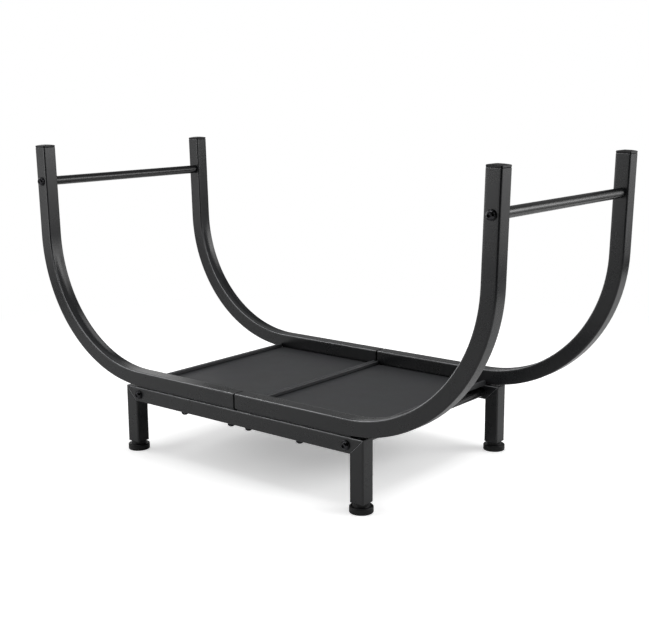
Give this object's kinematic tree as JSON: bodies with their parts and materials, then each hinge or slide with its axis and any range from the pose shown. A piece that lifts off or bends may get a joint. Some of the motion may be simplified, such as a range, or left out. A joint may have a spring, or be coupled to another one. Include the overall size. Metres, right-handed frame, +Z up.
{
  "type": "firewood rack",
  "caption": "Open cradle firewood rack: bent square-tube half arms over a low legged base, folded deck sheets, round bars between the posts and levelling feet.",
  "frame": {"origin": "on the floor, under the middle of the rack", "axes": "+X along the length towards the right end in the picture, +Y from the front arms to the back arms, +Z up"},
  "size_m": [0.75, 0.3248, 0.4079],
  "materials": {
    "tube_coat": "fine-grained satin black powder coat on square tube",
    "sheet_coat": "fine-grained matt black powder coat on folded sheet",
    "bar_coat": "satin black powder coat on round bar",
    "screw_black": "black oxide with a soft sheen",
    "moulded_plastic": "moulded black plastic, fine spark texture",
    "plated_steel": "zinc plated"
  },
  "bodies": {
    "frame": {"arm_front_left": "tube_coat", "arm_front_right": "tube_coat", "arm_back_left": "tube_coat", "arm_back_right": "tube_coat", "cap_front_left": "moulded_plastic", "cap_front_right": "moulded_plastic", "cap_back_left": "moulded_plastic", "cap_back_right": "moulded_plastic", "rail_front": "tube_coat", "rail_back": "tube_coat", "leg_front_left": "tube_coat", "leg_front_right": "tube_coat", "leg_back_left": "tube_coat", "leg_back_right": "tube_coat", "deck_left": "sheet_coat", "deck_right": "sheet_coat", "post_bar_left": "bar_coat", "post_bar_right": "bar_coat", "tie_bar_left": "bar_coat", "tie_bar_right": "bar_coat", "post_bar_screws": "screw_black", "tie_bar_screws": "screw_black", "bar_washers": "screw_black", "arm_screws": "screw_black", "arm_washers": "screw_black", "arm_spring_washers": "screw_black", "arm_nuts": "plated_steel", "insert_front_left": "moulded_plastic", "insert_front_right": "moulded_plastic", "insert_back_left": "moulded_plastic", "insert_back_right": "moulded_plastic"},
    "foot_front_left": {"pad_front_left": "moulded_plastic", "stem_front_left": "plated_steel"},
    "foot_front_right": {"pad_front_right": "moulded_plastic", "stem_front_right": "plated_steel"},
    "foot_back_left": {"pad_back_left": "moulded_plastic", "stem_back_left": "plated_steel"},
    "foot_back_right": {"pad_back_right": "moulded_plastic", "stem_back_right": "plated_steel"}
  },
  "joints": [
    {"name": "foot_front_left_level", "type": "slide", "parent": "frame", "child": "foot_front_left", "axis": [0, 0, -1], "range_m": [0, 0.01]},
    {"name": "foot_front_right_level", "type": "slide", "parent": "frame", "child": "foot_front_right", "axis": [0, 0, -1], "range_m": [0, 0.01]},
    {"name": "foot_back_left_level", "type": "slide", "parent": "frame", "child": "foot_back_left", "axis": [0, 0, -1], "range_m": [0, 0.01]},
    {"name": "foot_back_right_level", "type": "slide", "parent": "frame", "child": "foot_back_right", "axis": [0, 0, -1], "range_m": [0, 0.01]}
  ]
}
